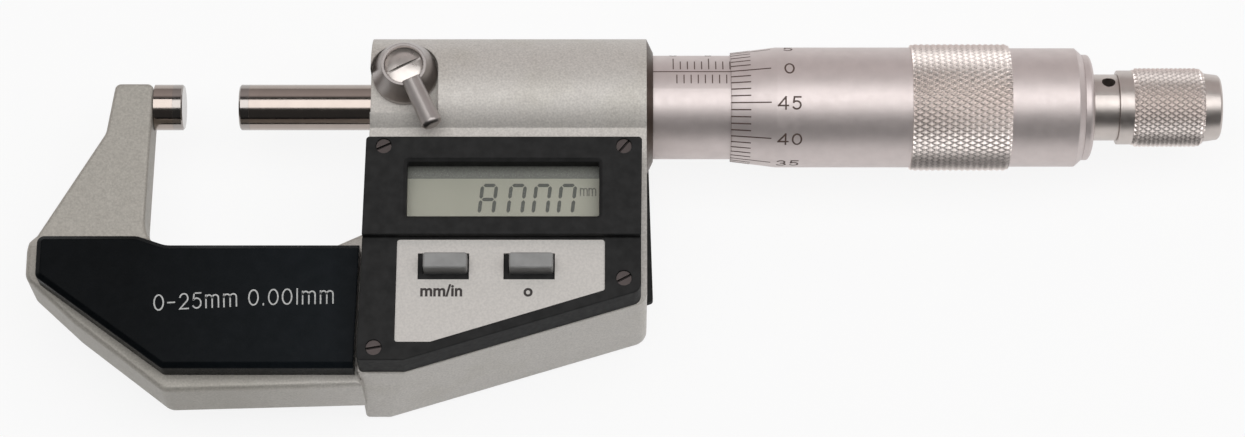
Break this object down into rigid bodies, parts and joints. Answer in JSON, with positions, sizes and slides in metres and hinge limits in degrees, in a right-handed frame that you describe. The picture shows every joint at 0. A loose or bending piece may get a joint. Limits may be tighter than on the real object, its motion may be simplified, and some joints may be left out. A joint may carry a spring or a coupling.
{
  "type": "digital outside micrometer",
  "caption": "Digital outside micrometer with a C shaped frame, screw fed spindle, graduated thimble, ratchet stop, spindle lock, display and two buttons.",
  "frame": {"origin": "centre of the anvil's measuring face, on the spindle axis", "axes": "+X along the spindle axis from the anvil to the ratchet knob, +Y away from the bow, +Z out of the display; it lies on its back"},
  "size_m": [0.1675, 0.0533, 0.0273],
  "materials": {
    "frame_enamel": "fine grained satin silver enamel",
    "ground_steel": "ground and polished",
    "carbide": "lapped",
    "satin_chrome": "satin chrome",
    "knob_steel": "turned and knurled",
    "lever_steel": "bead blasted",
    "dark_ring": "blackened",
    "black_moulding": "fine spark texture",
    "bow_plate_black": "satin",
    "screw_black": "blackened",
    "face_silver": "fine speckle",
    "button_grey": "matt",
    "window_clear": "clear",
    "display_green": "reflective",
    "board_green": "coated laminate",
    "silicone": "matt",
    "brass": "turned",
    "spring_steel": "drawn",
    "cell_steel": "plated"
  },
  "bodies": {
    "frame": {"frame": "frame_enamel", "anvil": "ground_steel", "anvil_tip": "carbide", "front_bow_plate": "bow_plate_black", "rear_bow_plate": "bow_plate_black", "spindle_bush": "ground_steel", "collar_ring": "dark_ring", "scale_sleeve": "satin_chrome", "inner_sleeve": "ground_steel", "adjusting_nut": "ground_steel", "encoder_stator": "board_green", "display_bezel": "black_moulding", "button_panel": "black_moulding", "face_plate": "face_silver", "display_window": "window_clear", "display_panel": "display_green", "connector_strip": "silicone", "circuit_board": "board_green", "button_pad": "silicone", "cover_screws": "screw_black", "rear_cover": "black_moulding", "rear_cover_screws": "screw_black", "battery_lid": "black_moulding", "battery_seal": "silicone", "battery": "cell_steel", "battery_contact": "brass", "lock_shoe": "brass"},
    "rotor": {"rotor_sleeve": "brass", "encoder_rotor": "board_green", "rotor_key": "ground_steel"},
    "spindle": {"spindle": "ground_steel", "spindle_tip": "carbide", "thimble": "satin_chrome", "thimble_cap": "satin_chrome", "ratchet_body": "knob_steel", "ratchet_screw": "knob_steel"},
    "ratchet": {"ratchet_knob": "knob_steel", "click_ring": "ground_steel", "ratchet_spring": "spring_steel"},
    "lock": {"lock_lever": "lever_steel", "lock_screw": "ground_steel"},
    "unit_key": {"unit_button": "button_grey"},
    "zero_key": {"zero_button": "button_grey"}
  },
  "joints": [
    {"name": "spindle_turn", "type": "hinge", "parent": "frame", "child": "rotor", "pos_m": [0.05, 0, 0], "axis": [1, 0, 0], "range_deg": [-5761, 12241]},
    {"name": "spindle_feed", "type": "slide", "parent": "rotor", "child": "spindle", "axis": [1, 0, 0], "range_m": [-0.008, 0.017]},
    {"name": "ratchet_turn", "type": "hinge", "parent": "spindle", "child": "ratchet", "pos_m": [0.138, 0, 0], "axis": [1, 0, 0], "continuous": true},
    {"name": "lock_swing", "type": "hinge", "parent": "frame", "child": "lock", "pos_m": [0.03175, 0.0021, 0.009], "axis": [0, 0, 1], "range_deg": [0, 60]},
    {"name": "unit_press", "type": "slide", "parent": "frame", "child": "unit_key", "axis": [0, 0, 1], "range_m": [-0.0006, 0], "stiffness_N_per_m": 800, "springref_m": 0.0005},
    {"name": "zero_press", "type": "slide", "parent": "frame", "child": "zero_key", "axis": [0, 0, 1], "range_m": [-0.0006, 0], "stiffness_N_per_m": 800, "springref_m": 0.0005}
  ],
  "couplings": [
    {"joint": "spindle_turn", "follows": "spindle_feed", "rad_per_m": 12566}
  ]
}
